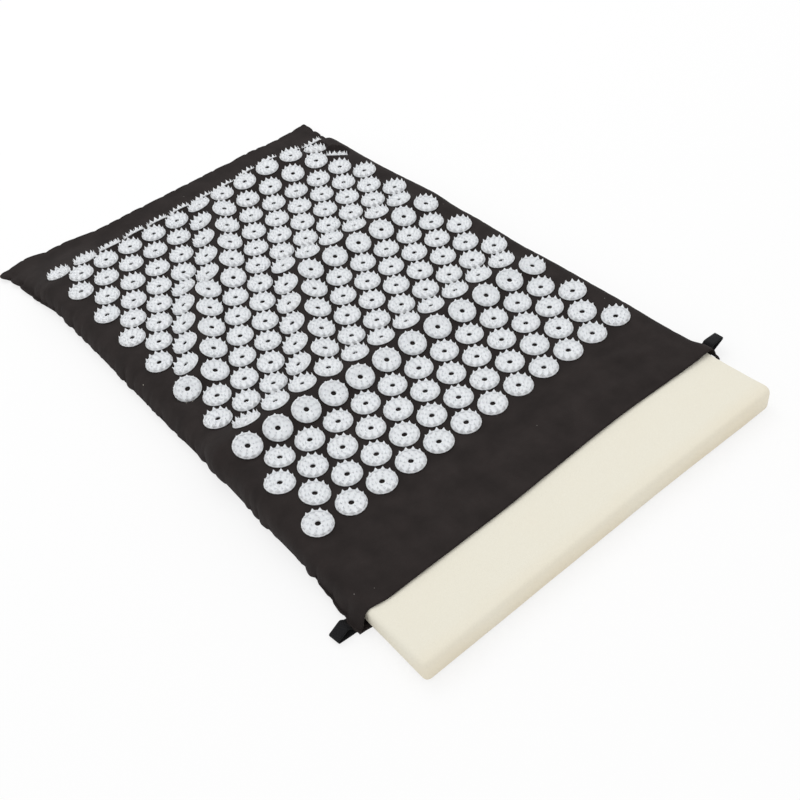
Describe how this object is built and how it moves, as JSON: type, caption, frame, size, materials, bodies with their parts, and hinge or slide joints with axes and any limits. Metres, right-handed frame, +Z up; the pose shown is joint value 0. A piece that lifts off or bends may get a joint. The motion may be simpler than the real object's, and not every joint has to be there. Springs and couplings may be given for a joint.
{
  "type": "acupressure mat",
  "caption": "Flat cloth mat set with staggered rows of round plastic spike discs, with a foam pad that slides out of one open end and a webbing loop at each side.",
  "frame": {"origin": "middle of the cover's underside, on the surface that the mat lies on", "axes": "+Y along the mat towards its closed end, +X across the mat, +Z up out of the spike face"},
  "size_m": [0.4386, 0.702, 0.0355],
  "materials": {
    "cloth": "plain-woven cotton, matt, near-black",
    "foam": "open-cell foam, matt, cream",
    "disc": "moulded plastic, satin, cool white",
    "webbing": "woven webbing, matt, black",
    "tape": "hook and loop tape, matt, black"
  },
  "bodies": {
    "cover": {"cover_bottom_panel": "cloth", "cover_top_panel": "cloth", "cover_closed_end": "cloth", "closure_hook_tape": "tape", "closure_loop_tape": "tape", "webbing_loop_left": "webbing", "webbing_loop_right": "webbing", "spike_disc_00_00": "disc", "spike_disc_00_01": "disc", "spike_disc_00_02": "disc", "spike_disc_00_03": "disc", "spike_disc_00_04": "disc", "spike_disc_00_05": "disc", "spike_disc_00_06": "disc", "spike_disc_00_07": "disc", "spike_disc_00_08": "disc", "spike_disc_00_09": "disc", "spike_disc_00_10": "disc", "spike_disc_00_11": "disc", "spike_disc_01_00": "disc", "spike_disc_01_01": "disc", "spike_disc_01_02": "disc", "spike_disc_01_03": "disc", "spike_disc_01_04": "disc", "spike_disc_01_05": "disc", "spike_disc_01_06": "disc", "spike_disc_01_07": "disc", "spike_disc_01_08": "disc", "spike_disc_01_09": "disc", "spike_disc_01_10": "disc", "spike_disc_02_00": "disc", "spike_disc_02_01": "disc", "spike_disc_02_02": "disc", "spike_disc_02_03": "disc", "spike_disc_02_04": "disc", "spike_disc_02_05": "disc", "spike_disc_02_06": "disc", "spike_disc_02_07": "disc", "spike_disc_02_08": "disc", "spike_disc_02_09": "disc", "spike_disc_02_10": "disc", "spike_disc_02_11": "disc", "spike_disc_03_00": "disc", "spike_disc_03_01": "disc", "spike_disc_03_02": "disc", "spike_disc_03_03": "disc", "spike_disc_03_04": "disc", "spike_disc_03_05": "disc", "spike_disc_03_06": "disc", "spike_disc_03_07": "disc", "spike_disc_03_08": "disc", "spike_disc_03_09": "disc", "spike_disc_03_10": "disc"},
    "pad": {"foam_pad": "foam"}
  },
  "joints": [
    {"name": "pad_slide", "type": "slide", "parent": "cover", "child": "pad", "axis": [0, -1, 0], "range_m": [-0.068, 0.508]}
  ]
}
